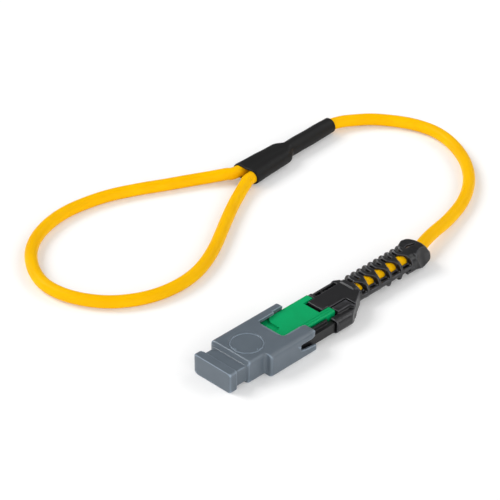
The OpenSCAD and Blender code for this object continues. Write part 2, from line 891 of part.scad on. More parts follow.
module boot_shell() {
  intersection() {
    union() {
      along_z(boot_bottom, boot_top)
        boot_outline();
      tongues();
    }
    along_x(hood_front - 1, shell_end + 1)
      soft_rect([-shoulder_reach - 0.2, boot_bottom], [boot_far, boot_top], 0.25);
  }
  boot_hood();
}

// Top and bottom tongues that reach forward between the housing's prongs
module tongues() {
  reach = boot_front - prong_l + 0.6;
  for (z = [boot_bottom, boot_top - boot_wall])
    along_z(z, z + boot_wall)
      soft_rect([reach, -tongue_w / 2], [boot_front + 1, tongue_w / 2], 0.15);
}

module boot_bays() {
  half_t = boot_h / 2 - boot_wall;
  axial_box(hood_front - 1, rear_block_end + 0.2, 2 * boot_bay_half, 2 * half_t);
  // Pocket of the hood
  block(
    [hood_front - 1, cap_bay_near, latch_z0 - cap_clearance],
    [pocket_end, 0, latch_z1 + cap_clearance]);
  axial(rear_block_end - 0.5, boot_end + 1, boot_bore_r);
  // Mouth for the bending cable, flared to the far side
  along_z(axis_z - boot_bore_r + 0.05, axis_z + boot_bore_r - 0.05)
    polygon([
      [collar_x, -boot_bore_r], [boot_end + 1, -boot_bore_r - 0.2],
      [boot_end + 1, boot_bore_r + mouth_flare * (1 + 1 / collar_l)],
      [collar_x, boot_bore_r]
    ]);
}

// Slots that free the centre tongue from the shell's sides
module boot_slots() {
  half = tongue_w / 2;
  slot = 0.28;
  depth = boot_wall + 0.3;
  slit_end = shoulder_x + 0.5;
  for (z = [boot_bottom - 1, boot_top - depth])
    translate([0, 0, z]) {
      // Far side: a wide open slot
      along_z(0, depth + 1)
        soft_rect([boot_slot_start, boot_slot_near], [shell_end - 1.1, boot_bay_half], 0.15);
      // Latch side: an L-shaped slit
      block([boot_front - 1, -half - 0.3 - slot, 0], [slit_end, -half - 0.3, depth + 1]);
      block([slit_end - slot, -5, 0], [slit_end, -half - 0.3, depth + 1]);
    }
}

// The rail beside the far slot lies a little lower than the shell
module rail_drop() {
  drop = 0.3;
  for (z = [boot_bottom - 1, boot_top - drop])
    block(
      [boot_slot_start + 0.1, boot_bay_half - 0.1, z],
      [shell_end - 1.2, boot_far + 1, z + 1 + drop]);
}

// Outer form of the strain relief, round at its long edges and rounder on the latch side
module relief_form(x0, x1) {
  lo = axis_z - relief_half_h;
  hi = axis_z + relief_half_h;
  along_x(x0, x1) {
    soft_rect([-1.6, lo], [relief_half_w, hi], relief_round);
    soft_rect([-relief_half_w, lo], [1.5, hi], hoop_round);
  }
}

// Plan of the ribs: forks of two fingers on the far side that meet in one hoop on the latch side
module rib_plan() {
  fork_count = rib_count / 2;
  for (i = [0:fork_count - 1])
    translate([first_rib_x + (2 * i + 0.5) * rib_pitch, 0])
      rib_fork(
        i + 1 < fork_count ? hoop_w / 2 : rib_pitch / 2 + 0.5,
        spread_shift * (i + 0.5));
}

// One fork, about its middle: rear is its hoop's reach towards the collar, rise the shift of its crotch
module rib_fork(rear, rise) {
  reach = relief_half_w + 0.1;
  outer = (rib_pitch + rib_w) / 2;
  half = hoop_w / 2;
  for (side = [-1, 1])
    translate([side * rib_pitch / 2 - rib_w / 2, 0])
      soft_rect([0, rise - 0.3], [rib_w, relief_half_w], rib_w / 2 - 0.01);
  // Bridge that closes the slot between the fingers
  translate([-0.3, relief_half_w - 0.72])
    square([0.6, 0.28]);
  polygon([
    [-outer, rise + 0.15], [-outer * 0.66, rise - 0.55], [-half - 0.1, rise - 0.95],
    [-half, rise - 1.3], [-half, -reach], [rear, -reach], [rear, rise - 1.3],
    [max(rear, half + 0.1), rise - 0.95], [max(rear, outer * 0.66), rise - 0.55],
    [max(rear, outer), rise + 0.15]
  ]);
}

// Side rails that tie the ribs together, tapering to the rear
module relief_rails() {
  x0 = shell_end - 0.6;
  t = 0.45;
  intersection() {
    relief_form(x0, collar_x + 1);
    for (y = [-relief_half_w, relief_half_w - t])
      along_y(y, y + t)
        polygon([
          [x0, axis_z - 0.9], [x0, axis_z + 0.95], [shell_end + 1.2, axis_z + 0.85],
          [collar_x + 1, axis_z + 0.35], [collar_x + 1, axis_z - 0.35], [shell_end + 6, axis_z - 0.8]
        ]);
  }
}

// Tube inside the ribs, open on the latch side of the top
module relief_tube() {
  difference() {
    axial(shell_end - 0.5, collar_x + 0.5, tube_r);
    block(
      [first_rib_x - 0.6, -relief_half_w, axis_z + 0.25],
      [collar_x - 0.5, 0.6, cap_h + 1]);
  }
}

module relief() {
  relief_tube();
  // Root of the relief, flush with the shell
  relief_form(shell_end - 0.5, shell_end + 0.4);
  intersection() {
    relief_form(shell_end - 0.5, collar_x + 0.5);
    along_z(-1, cap_h + 1)
      rib_plan();
  }
  relief_rails();
}

// Flared collar: widens from the ribs to a bulb whose round rear leans back to its foot
module collar() {
  z0 = axis_z - relief_half_h + 0.15;
  z1 = axis_z + relief_half_h;
  w = collar_half_w;
  difference() {
    hull() {
      along_x(collar_x, collar_x + 0.2)
        soft_rect([-relief_half_w, z0], [relief_half_w, z1], 0.4);
      // Waist, where the collar is widest
      along_x(collar_x + 1, collar_x + 1.2)
        soft_rect([-w, z0], [w, z1], 0.5);
      collar_disc(z0, 1.9, w - 0.5);
      collar_disc(z0 + 0.7, collar_rear, w);
      collar_disc(z0 + 1.4, collar_rear - 0.08, w);
      collar_disc(z1 - 0.45, collar_rear - 1, w - 0.05);
      collar_disc(z1 - 0.12, collar_rear - 1.35, w - 0.3);
      collar_disc(z1, collar_rear - 1.6, w - 0.5);
    }
    // Shallow finger scoop in the latch side
    translate([collar_x + 1.5, -w - 2.05, axis_z])
      rotate([-8, 8, 0])
        cylinder(h = 4 * relief_half_h, r = 2.4, center = true, $fn = 48);
  }
  collar_lobe(z0);
}

// Thin oval disc about the collar's rear centre, one layer of its bulb
module collar_disc(z, rear, side) {
  translate([boot_end - collar_rear, 0, z])
    scale([rear, side, 1])
      rotate([0, 0, 90])
        linear_extrude(0.01)
          circle(1, $fn = 40);
}

// Lower lobe that reaches forward under the near rail
module collar_lobe(z0) {
  intersection() {
    along_y(-relief_half_w, -relief_half_w + 1.1)
      difference() {
        translate([collar_x - 2.1, z0 + 0.15])
          square([3.4, 1.1]);
        translate([collar_x - 1.6, z0 + 2.05])
          circle(1.5);
      }
    along_x(collar_x - 3, collar_x + 2)
      soft_rect([-relief_half_w, z0], [0, z0 + 1.4], 0.4);
  }
}

// Small bent slit in the collar's top
module collar_slit() {
  translate([collar_x + 0.1, 0.5, axis_z])
    along_z(0, 3)
      polygon([
        [0, 0.06], [0.7, -0.06], [1.1, -0.26], [1.8, -0.4], [1.86, -0.12],
        [1.2, 0.06], [0.8, 0.28], [0.05, 0.36]
      ]);
}

module push_pull_boot() {
  color([0.16, 0.16, 0.17])
    difference() {
      union() {
        boot_shell();
        relief();
        collar();
      }
      boot_bays();
      boot_slots();
      rail_drop();
      collar_slit();
    }
}

// ---------- shrink sleeve and cords ----------

// Ring of the sleeve: two round ends moved apart by c, of radius r
function sleeve_ring(x, r, c) = [
  for (j = [0:sleeve_sides - 1])
    let (a = -360 * (j + 0.5) / sleeve_sides)
      [x, r * cos(a) + c * sign(cos(a)), r * sin(a)]
];

// Share of the way from the wide to the slim part, at a distance from the mouth
function sleeve_blend(x) =
  let (t = min(1, max(0, (x - sleeve_wide_l) / sleeve_shoulder_l)))
    t * t * (3 - 2 * t);

// Half distance of the two legs, which falls to nothing in the slim part
function leg_gap(x) =
  leg_offset * (1 - sleeve_blend(x)) + mouth_spread * max(0, 1 - x / sleeve_wide_l);

function sleeve_stations(over) = [
  -over, sleeve_wide_l,
  for (i = [1:5]) sleeve_wide_l + sleeve_shoulder_l * i / 6,
  sleeve_wide_l + sleeve_shoulder_l, sleeve_l + over
];

module sleeve_solid(r, over, extra) {
  skin([
    for (x = sleeve_stations(over))
      sleeve_ring(x, r + extra * sleeve_blend(x), leg_gap(x) + 0.0001)
  ]);
}

module shrink_sleeve() {
  color([0.13, 0.13, 0.13])
    translate(sleeve_mouth)
      rotate([0, 0, sleeve_turn])
        difference() {
          sleeve_solid(sleeve_bore_r + sleeve_wall, 0, slim_extra);
          sleeve_solid(sleeve_bore_r, 0.4, 0);
        }
}

// Bare fibres that part from the single cable into the two legs
module split_fibres() {
  from = trunk_route[len(trunk_route) - 1];
  r = 0.3;
  color("lightblue")
    for (leg = [loop_route[0], loop_route[len(loop_route) - 1]])
      let (run = leg - from + [0.3, 0, 0])
        translate(from)
          rotate([0, 90, atan2(run.y, run.x)])
            cylinder(h = norm(run), r = r);
}

module cable_trunk() {
  color("orange")
    cord(trunk_route, [1, 0, 0], [-1, 0, 0]);
}

module cable_loop() {
  color("orange")
    cord(loop_route, [-1, 0, 0], [1, 0, 0]);
}

dust_cap();
front_housing();
ferrule();
fibre_ribbon();
ferrule_boot();
spring_seat();
ferrule_spring();
rear_body();
latch_arm();
aramid_yarn();
crimp_ring();
push_pull_boot();
cable_in_boot();
cable_trunk();
shrink_sleeve();
split_fibres();
cable_loop();
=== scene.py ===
import json
import math

import bmesh
import bpy
from mathutils import Matrix, Vector, noise

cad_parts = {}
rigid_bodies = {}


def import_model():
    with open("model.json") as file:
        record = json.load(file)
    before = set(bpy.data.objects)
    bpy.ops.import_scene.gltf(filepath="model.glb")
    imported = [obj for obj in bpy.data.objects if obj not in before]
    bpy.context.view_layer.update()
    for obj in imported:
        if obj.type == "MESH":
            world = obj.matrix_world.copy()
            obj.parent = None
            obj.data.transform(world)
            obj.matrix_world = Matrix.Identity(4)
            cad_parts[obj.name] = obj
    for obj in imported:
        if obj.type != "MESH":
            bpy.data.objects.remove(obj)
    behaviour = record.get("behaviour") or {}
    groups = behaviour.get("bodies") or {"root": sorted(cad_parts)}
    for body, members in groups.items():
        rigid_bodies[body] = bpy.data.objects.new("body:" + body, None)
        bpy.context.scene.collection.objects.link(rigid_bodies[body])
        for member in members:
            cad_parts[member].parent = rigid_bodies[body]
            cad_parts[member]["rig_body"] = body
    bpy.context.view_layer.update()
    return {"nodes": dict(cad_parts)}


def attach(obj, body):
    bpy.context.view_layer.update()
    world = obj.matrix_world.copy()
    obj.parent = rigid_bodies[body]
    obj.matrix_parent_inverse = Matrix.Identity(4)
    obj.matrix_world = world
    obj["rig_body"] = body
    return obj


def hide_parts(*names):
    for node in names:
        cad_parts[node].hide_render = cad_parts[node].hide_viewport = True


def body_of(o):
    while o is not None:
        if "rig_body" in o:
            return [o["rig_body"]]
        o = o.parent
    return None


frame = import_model()
nodes = frame["nodes"]
scene = bpy.context.scene
MM = 0.001


# ---------- camera ----------

# Fitted to the edges of the cap and the housing in the photo. Azimuth 0 looks along +Y, and
# TARGET and DISTANCE are in metres
AZIMUTH = math.radians(-45.242)
ELEVATION = math.radians(33.4)
BACK = Vector((
    math.sin(AZIMUTH) * math.cos(ELEVATION),
    -math.cos(AZIMUTH) * math.cos(ELEVATION),
    math.sin(ELEVATION),
))
TARGET = Vector((20.985, 20.507, 0.0)) * MM
DISTANCE = 0.34964
LENS_MM, SENSOR_MM = 163.02, 36.0


def make_camera():
    data = bpy.data.cameras.new("camera")
    data.sensor_width = SENSOR_MM
    data.lens = LENS_MM
    data.clip_start = 0.01
    data.clip_end = 20.0
    camera = bpy.data.objects.new("camera", data)
    camera.rotation_mode = "QUATERNION"
    camera.location = TARGET + BACK * DISTANCE
    camera.rotation_quaternion = (-BACK).to_track_quat("-Z", "Y")
    scene.collection.objects.link(camera)
    return camera


scene.camera = make_camera()


# ---------- mesh helpers ----------

def add_object(name, bm, smooth=True):
    bmesh.ops.recalc_face_normals(bm, faces=bm.faces)
    mesh = bpy.data.meshes.new(name)
    bm.to_mesh(mesh)
    bm.free()
    for poly in mesh.polygons:
        poly.use_smooth = smooth
    obj = bpy.data.objects.new(name, mesh)
    scene.collection.objects.link(obj)
    return obj


def loft(rings, close_start=False, close_end=False, close_loop=False):
    """Quads between rings of equal point counts."""
    bm = bmesh.new()
    rows = [[bm.verts.new(p) for p in ring] for ring in rings]
    if close_loop:
        rows.append(rows[0])
    for a, b in zip(rows, rows[1:]):
        for j in range(len(a)):
            k = (j + 1) % len(a)
            bm.faces.new((a[j], a[k], b[k], b[j]))
    if close_start:
        bm.faces.new(rows[0])
    if close_end:
        bm.faces.new(rows[-1])
    return bm


def smooth_route(points, per_span, floor_z):
    """Catmull-Rom curve through the points, kept above the height floor_z."""
    pts = [Vector(p) for p in points]
    pts = [2 * pts[0] - pts[1]] + pts + [2 * pts[-1] - pts[-2]]
    out = []
    for i in range(1, len(pts) - 2):
        p0, p1, p2, p3 = pts[i - 1:i + 3]
        for s in range(per_span):
            t = s / per_span
            out.append(0.5 * (
                2 * p1
                + (p2 - p0) * t
                + (2 * p0 - 5 * p1 + 4 * p2 - p3) * t * t
                + (3 * p1 - p0 - 3 * p2 + p3) * t * t * t
            ))
    out.append(pts[-2].copy())
    for p in out:
        p.z = max(p.z, floor_z)
    return out


def tube(name, route, radius, sides, first_dir, last_dir):
    """Round tube along a route, with its ring planes square to the route."""
    rings = []
    last = len(route) - 1
    for i, centre in enumerate(route):
        ahead = route[min(i + 1, last)] - route[max(i - 1, 0)]
        if i == 0:
            ahead = Vector(first_dir)
        if i == last:
            ahead = Vector(last_dir)
        ahead.normalize()
        side = ahead.cross(Vector((0, 0, 1))).normalized()
        up = side.cross(ahead)
        rings.append([
            centre + radius * (math.cos(a) * side + math.sin(a) * up)
            for a in (2 * math.pi * j / sides for j in range(sides))
        ])
    return add_object(name, loft(rings, True, True))


def smooth_step(lo, hi, x):
    """Smooth rise from 0 at lo to 1 at hi."""
    t = min(1.0, max(0.0, (x - lo) / (hi - lo)))
    return t * t * (3 - 2 * t)


def smooth_fall(lo, hi, x):
    """Smooth fall from 1 at lo to 0 at hi."""
    return 1 - smooth_step(lo, hi, x)


# ---------- cords ----------

CABLE_R = 1.0 * MM
CABLE_SIDES = 24
STEPS_PER_SPAN = 6
# The cords' points, in mm, as in the CAD
TRUNK = [
    (34.3, 0, 1.85), (36.3, 0.15, 1.85), (38.3, 0.75, 1.85), (40.6, 1.5, 1.75),
    (43.4, 2.2, 1.6), (46.6, 2.95, 1.3), (50, 3.95, 1.1), (53.4, 5.2, 1),
    (56.8, 7, 1), (60, 9.4, 1), (62.8, 12.4, 1), (65, 15.8, 1),
    (66.5, 19.4, 1), (67.1, 23, 1), (66.5, 26.6, 1), (64.9, 30, 1),
    (62.6, 32.9, 1.1), (60, 34.8, 1.2), (58.1, 35.8, 1.3), (55.8, 36.3, 1.4),
    (53.9, 36.2, 1.4), (50.1, 36, 1.4)
]
LOOP = [
    (41.2, 34.4, 1.4), (34.2, 33.7, 1.4), (32.9, 33.25, 1.3), (31.2, 32.5, 1.1),
    (27.4, 30.5, 1), (23.6, 28.2, 1), (20, 25.9, 1), (16.4, 23.7, 1), (12.8, 21.9, 1),
    (9.2, 20.7, 1), (5.4, 20.3, 1), (1.6, 20.8, 1), (-1.8, 22.2, 1), (-4.8, 24.5, 1),
    (-7, 27.6, 1), (-8.3, 31.2, 1), (-8.4, 35, 1), (-7, 38.9, 1), (-4.4, 42.6, 1),
    (-1, 45.3, 1), (3, 47, 1), (7.2, 47.7, 1), (11.4, 47.4, 1), (15.6, 46.4, 1),
    (19.8, 44.6, 1), (24, 42.4, 1), (28, 40.4, 1), (30.4, 39, 1.1), (32.6, 37.6, 1.3),
    (34.3, 36.65, 1.4), (41.7, 36.65, 1.4)
]


def cable_route(points):
    return smooth_route([Vector(p) * MM for p in points], STEPS_PER_SPAN, CABLE_R)


trunk_path = cable_route(TRUNK)
loop_path = cable_route(LOOP)
trunk = tube("trunk_jacket", trunk_path, CABLE_R, CABLE_SIDES, (1, 0, 0), (-1, 0, 0))
loop = tube("loop_jacket", loop_path, CABLE_R, CABLE_SIDES, (-1, 0, 0), (1, 0, 0))
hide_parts("cable_trunk")
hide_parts("cable_loop")


# ---------- shrink sleeve ----------

SLEEVE_MOUTH = Vector((34.8, 35.2, 1.4)) * MM
SLEEVE_TURN = math.radians(3.0)
# The sleeve's own sizes, in mm: wide over the two legs of the loop, slim over the trunk
WIDE_L, SHOULDER_L, SLIM_L = 8.7, 1.7, 10.6
SHOULDER_BLEND = 0.2
SLEEVE_L = WIDE_L + SHOULDER_L + SLIM_L
SLEEVE_R = 1.33
SLEEVE_WALL = 0.28
SLIM_EXTRA = 0.07
# Each side stands out over its leg, and LEG_TURN says how soon one side passes into the other
LEG_OFFSET, LEG_TURN = 1.03, 3.2
MOUTH_SPREAD = 0.4
# The wall sinks in between the two legs of the loop
WAIST_DEPTH, WAIST_REACH = 0.16, 0.75
# Folds just past the wide stretch, and a faint ripple everywhere
FOLD_AFTER, FOLD_REACH, FOLD_DEPTH = 0.8, 1.3, 0.06
FOLD_RIPPLE, WALL_RIPPLE = 0.07, 0.03
# The slim end narrows a little over its last stretch, and all of the tube sits a little tighter
TAPER, TAPER_L = 0.05, 4
SNUG = 0.03
SLEEVE_SIDES, SLEEVE_STEP = 56, 0.25
# Share of the wall that is taken off at the outer edge of both ends
RIM_BREAK = 0.25


def wall_noise(x, c, s, along, around, seed=0):
    """Smooth noise over the tube's wall. Along and around say how fine it is."""
    return noise.noise(Vector((x * along, c * around + seed, s * around)))


def sleeve_point(x, angle, shrink):
    """Point of the shrunk tube: drawn in between the two legs, with small folds at its shoulder."""
    slim = smooth_step(WIDE_L - SHOULDER_BLEND, WIDE_L + SHOULDER_L + SHOULDER_BLEND, x)
    apart = LEG_OFFSET * (1 - slim) + MOUTH_SPREAD * max(0.0, 1 - x / WIDE_L)
    r = SLEEVE_R + SLIM_EXTRA * slim - shrink
    c, s = math.cos(angle), math.sin(angle)
    y = r * c + apart * max(-1.0, min(1.0, c * LEG_TURN))
    waist = math.exp(-((y / WAIST_REACH) ** 2)) * (1 - slim)
    z = s * (r - WAIST_DEPTH * waist)
    # The tube's wall gathers into faint folds where it narrows
    fold = math.exp(-(((x - WIDE_L - FOLD_AFTER) / FOLD_REACH) ** 2))
    swell = wall_noise(x, c, s, along=0.9, around=2.2) * FOLD_RIPPLE * fold
    swell += wall_noise(x, c, s, along=0.35, around=1.3, seed=4) * WALL_RIPPLE
    swell -= FOLD_DEPTH * fold * slim + TAPER * smooth_step(SLEEVE_L - TAPER_L, SLEEVE_L, x) + SNUG
    k = 1 + swell / SLEEVE_R
    return Vector((x, y * k, z * k))


def broken_rim(outer_ring, inner_ring):
    """End ring of the outer wall, drawn in towards the inner one."""
    return [p + (q - p) * RIM_BREAK for p, q in zip(outer_ring, inner_ring)]


def make_sleeve():
    stations = [i * SLEEVE_STEP for i in range(int(SLEEVE_L / SLEEVE_STEP) + 1)] + [SLEEVE_L]
    angles = [2 * math.pi * j / SLEEVE_SIDES for j in range(SLEEVE_SIDES)]
    outer = [[sleeve_point(x, a, 0.0) for a in angles] for x in stations]
    inner = [[sleeve_point(x, a, SLEEVE_WALL) for a in angles] for x in reversed(stations)]
    rings = [broken_rim(outer[0], inner[-1]), *outer[1:-1], broken_rim(outer[-1], inner[0]), *inner]
    turn = Matrix.Rotation(SLEEVE_TURN, 3, "Z")
    placed = [[SLEEVE_MOUTH + turn @ p * MM for p in ring] for ring in rings]
    return add_object("shrink_tube", loft(placed, close_loop=True))


sleeve = make_sleeve()
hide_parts("shrink_sleeve")

for piece in (trunk, loop, sleeve):
    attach(piece, "connector")


# ---------- moulded pieces with broken edges, in mm ----------

WELD = 0.0002


def slab(bm, low, high):
    """Plain box between two corners."""
    size = [b - a for a, b in zip(low, high)]
    centre = [(a + b) / 2 for a, b in zip(low, high)]
    bmesh.ops.create_cube(bm, matrix=Matrix.Translation(centre) @ Matrix.Diagonal((*size, 1)))


def copy_in_mm(source, name):
    """Copy of a CAD piece with its coinciding corners welded."""
    bm = bmesh.new()
    bm.from_mesh(source.data)
    bm.transform(Matrix.Scale(1 / MM, 4) @ source.matrix_world)
    bmesh.ops.remove_doubles(bm, verts=bm.verts, dist=WELD)
    return add_object(name, bm)


def relaxed_mesh(obj, tool, grain, passes):
    """Fine even mesh of obj, less the tool if there is one, that is relaxed a few times."""
    if tool is not None:
        cut = obj.modifiers.new("cut", "BOOLEAN")
        cut.operation = "DIFFERENCE"
        cut.object = tool
        cut.solver = "MANIFOLD"
    remesh = obj.modifiers.new("remesh", "REMESH")
    remesh.mode = "VOXEL"
    remesh.voxel_size = grain
    remesh.use_smooth_shade = True
    relax = obj.modifiers.new("relax", "SMOOTH")
    relax.factor = 0.5
    relax.iterations = passes
    bpy.context.view_layer.update()
    graph = bpy.context.evaluated_depsgraph_get()
    mesh = bpy.data.meshes.new_from_object(obj.evaluated_get(graph))
    obj.modifiers.clear()
    return mesh


def softened(name, grain, passes, cutter=None, warp=None):
    """Copy of a CAD piece whose edges carry the round a mould leaves. The cutter, a bmesh,
    deepens slots first, and warp moves the points of the relaxed mesh. The copy is worked on in
    mm and then brought back to metres."""
    source = nodes[name]
    obj = copy_in_mm(source, name + "_soft")
    tool = add_object(name + "_cutter", cutter) if cutter is not None else None
    obj.data = relaxed_mesh(obj, tool, grain, passes)
    if tool is not None:
        bpy.data.objects.remove(tool)
    if warp is not None:
        for v in obj.data.vertices:
            v.co = warp(v.co)
    obj.data.transform(Matrix.Scale(MM, 4))
    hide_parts(name)
    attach(obj, body_of(source)[0])
    return obj


RING_STEPS, BEAD_STEPS = 96, 8


def add_ring(obj, centre, radius, width, height):
    """Low round bead on a piece, for the rim of the bare roundel."""
    bm = bmesh.new()
    bm.from_mesh(obj.data)
    rows = []
    for i in range(RING_STEPS):
        a = 2 * math.pi * i / RING_STEPS
        row = []
        for j in range(BEAD_STEPS + 1):
            b = math.pi * j / BEAD_STEPS
            r = radius - width / 2 * math.cos(b)
            offset = Vector((r * math.cos(a), r * math.sin(a), height * math.sin(b)))
            row.append(bm.verts.new((Vector(centre) + offset) * MM))
        rows.append(row)
    for a, b in zip(rows, rows[1:] + rows[:1]):
        for j in range(len(a)):
            k = (j + 1) % len(a)
            face = bm.faces.new((a[j], a[k], b[k], b[j]))
            face.smooth = True
    bm.to_mesh(obj.data)
    bm.free()


# A height above every piece
ABOVE = 3.8
AXIS_Z = 1.85
# Strain relief of the boot: forks of two fingers each, that meet in one hoop on the latch side
FIRST_RIB, RIB_PITCH, RIBS = 22.78, 1.24, 10
# Notches between the fingers' far tips
TIP_SLOT_W, TIP_SLOT_Y, TIP_SLOT_FLOOR = 0.64, (1.3, 2.5), AXIS_Z - 0.5
# Slots in the top, between two forks and in the crotch of each fork, which shifts to the rear
SLOT_W, SLOT_FLOOR = 0.46, 2.2
FORK_SLOT_Y, CROTCH_Y, CROTCH_SHIFT = (0.25, 1.6), (-0.1, 1.3), 0.11
# Windows between the hoops
HOOP_W, WINDOW_Y, WINDOW_FLOOR = 0.48, (-2.5, -1.25), AXIS_Z + 0.1
FIRST_WINDOW_X = 21.95
# Bent slit in the collar's top: its wider foot and its mouth, each from corner to corner
SLIT_FOOT = ((34.45, 0.3, 1.9), (35.5, 0.85, 3.05))
SLIT_MOUTH = ((34.5, 0.42, 2.9), (35.3, 0.84, ABOVE))
# Finger scoop in the collar's latch side
SCOOP_CENTRE = (35.8, -4.55, AXIS_Z)
SCOOP_R, SCOOP_L = 2.6, 9
SCOOP_TILT = math.radians(-20)
# Slot beside the boot's centre tongue: its ends, its two sides and its floor. The boot is cut
# over the slot's rear stretch, and the rear body under all of it
FAR_SLOT_X, FAR_SLOT_Y, FAR_SLOT_FLOOR = (15.98, 20.2), (1.64, 2.34), 1.3
BOOT_POCKET_X, BOOT_POCKET_TOP = 18.5, 2.55
BODY_POCKET_TOP = 2.7


def wide_slab(bm, middle, width, y, floor):
    """Slab of that width along X, between two Y, from the floor up through the top."""
    slab(bm, (middle - width / 2, y[0], floor), (middle + width / 2, y[1], ABOVE))


def cut_forks(bm):
    """Depth of the slots between the fingers, and of the windows between the hoops."""
    for gap in range(-1, RIBS - 1):
        x = FIRST_RIB + (gap + 0.5) * RIB_PITCH
        wide_slab(bm, x, TIP_SLOT_W, TIP_SLOT_Y, TIP_SLOT_FLOOR)
        between_forks = gap % 2
        if between_forks:
            slot_y = FORK_SLOT_Y
        else:
            slot_y = (CROTCH_SHIFT * (gap / 2 + 0.5) + CROTCH_Y[0], CROTCH_Y[1])
        wide_slab(bm, x, SLOT_W, slot_y, SLOT_FLOOR)
    for fork in range(RIBS // 2):
        x1 = FIRST_RIB + (2 * fork + 0.5) * RIB_PITCH - HOOP_W / 2
        x0 = x1 - 2 * RIB_PITCH + HOOP_W if fork else FIRST_WINDOW_X
        slab(bm, (x0, WINDOW_Y[0], WINDOW_FLOOR), (x1, WINDOW_Y[1], ABOVE))


def cut_far_slot(bm, x0, top):
    """Depth of the far slot from x0 to its rear end, below the height top."""
    slab(bm, (x0, FAR_SLOT_Y[0], FAR_SLOT_FLOOR), (FAR_SLOT_X[1], FAR_SLOT_Y[1], top))


def boot_cutter():
    bm = bmesh.new()
    cut_forks(bm)
    slab(bm, *SLIT_FOOT)
    slab(bm, *SLIT_MOUTH)
    cut_far_slot(bm, BOOT_POCKET_X, BOOT_POCKET_TOP)
    bmesh.ops.create_cone(
        bm, cap_ends=True, segments=64, radius1=SCOOP_R, radius2=SCOOP_R, depth=SCOOP_L,
        matrix=Matrix.Translation(SCOOP_CENTRE) @ Matrix.Rotation(SCOOP_TILT, 4, "X"))
    return bm


def rear_body_cutter():
    """Pocket under the whole far slot, so that the slot looks dark."""
    bm = bmesh.new()
    cut_far_slot(bm, FAR_SLOT_X[0], BODY_POCKET_TOP)
    return bm


# Swells of the cap: how far each goes, and the stretches over which it rises or falls
WALL_OUT, WALL_Y = 0.4, (3.15, 3.6)
NOTCH_OUT, NOTCH_Z = 0.35, 2.9
NOTCH_RISE_Y, NOTCH_FALL_Y, NOTCH_X = (1.8, 2.2), (2.3, 3.0), (3.2, 4.2)
NEAR_SIDE_Y, FINGER_Z = -1.5, 2
FINGER_OUT, FINGER_X = 0.4, (7.6, 8.9)
LIP_OUT, LIP_X = 0.8, (7.0, 8.3)
# Swells of the boot. The reach of the domes and the bumps' places are counted in ribs
COLLAR_UP, COLLAR_X, COLLAR_Z = 0.25, (34.2, 35.6), (2.4, 3.2)
DOME_OUT, DOME_REACH, DOME_Y, DOME_Z = 0.2, 0.4, (0.5, 1.2), (AXIS_Z - 0.4, AXIS_Z + 0.4)
BUMP_OUT, BUMP_DOWN, BUMP_Y, BUMP_Z = 0.32, 0.15, (-1.4, -0.9), (0.9, 1.5)
FIRST_BUMP, BUMP_PITCH, BUMP_REACH = 4.2, 2, 0.6
# The bumps end this far above the floor
BUMP_FOOT = 0.05


def cap_swell(p):
    """The cap's far wall stands out a little, and so does the far edge of its notch. The near
    finger and the lip below it reach a little further."""
    p.y += WALL_OUT * smooth_step(*WALL_Y, p.y)
    if p.z > NOTCH_Z:
        edge = smooth_step(*NOTCH_RISE_Y, p.y) * smooth_fall(*NOTCH_FALL_Y, p.y)
        p.y += NOTCH_OUT * edge * smooth_step(*NOTCH_X, p.x)
    if p.y < NEAR_SIDE_Y and p.z > FINGER_Z:
        p.x += FINGER_OUT * smooth_step(*FINGER_X, p.x)
    elif p.y < NEAR_SIDE_Y:
        p.x += LIP_OUT * smooth_step(*LIP_X, p.x)
    return p


def boot_swell(p):
    """The collar's back rises a little over the relief, the far ends of the ribs are domed, and
    two low bumps stand on the foot of the near rail, two ribs apart."""
    p.z += COLLAR_UP * smooth_step(*COLLAR_X, p.x) * smooth_step(*COLLAR_Z, p.z)
    rib = (p.x - FIRST_RIB) / RIB_PITCH
    if -DOME_REACH < rib < RIBS - 1 + DOME_REACH:
        dome = max(0.0, math.cos(2 * math.pi * rib))
        dome *= smooth_step(*DOME_Y, p.y) * smooth_step(*DOME_Z, p.z)
        p.y += DOME_OUT * dome
        p.z += DOME_OUT * dome
    if FIRST_BUMP - BUMP_REACH < rib < FIRST_BUMP + BUMP_PITCH + BUMP_REACH:
        bump = max(0.0, math.cos(2 * math.pi * (rib - FIRST_BUMP) / BUMP_PITCH))
        bump *= smooth_fall(*BUMP_Y, p.y) * smooth_fall(*BUMP_Z, p.z)
        p.y -= BUMP_OUT * bump
        p.z = max(min(p.z, BUMP_FOOT), p.z - BUMP_DOWN * bump)
    return p


SOFT = {
    "dust_cap": softened("dust_cap", grain=0.1, passes=9, warp=cap_swell),
    "push_pull_boot": softened(
        "push_pull_boot", grain=0.09, passes=3, cutter=boot_cutter(), warp=boot_swell),
    "latch_arm": softened("latch_arm", grain=0.05, passes=3),
    "rear_body": softened("rear_body", grain=0.06, passes=2, cutter=rear_body_cutter()),
}
add_ring(SOFT["dust_cap"], centre=(-0.42, -0.1, 3.66), radius=2.42, width=0.24, height=0.07)


# ---------- materials ----------

def linear(r, g, b):
    """Linear colour of an sRGB colour written in 0 to 255."""
    def one(v):
        v /= 255
        return v / 12.92 if v <= 0.04045 else ((v + 0.055) / 1.055) ** 2.4
    return (one(r), one(g), one(b), 1.0)


def material(name, shader="ShaderNodeBsdfPrincipled"):
    mat = bpy.data.materials.new(name)
    mat.use_nodes = True
    tree = mat.node_tree
    tree.nodes.clear()
    out = tree.nodes.new("ShaderNodeOutputMaterial")
    surface = tree.nodes.new(shader)
    tree.links.new(surface.outputs[0], out.inputs["Surface"])
    return mat, tree, surface


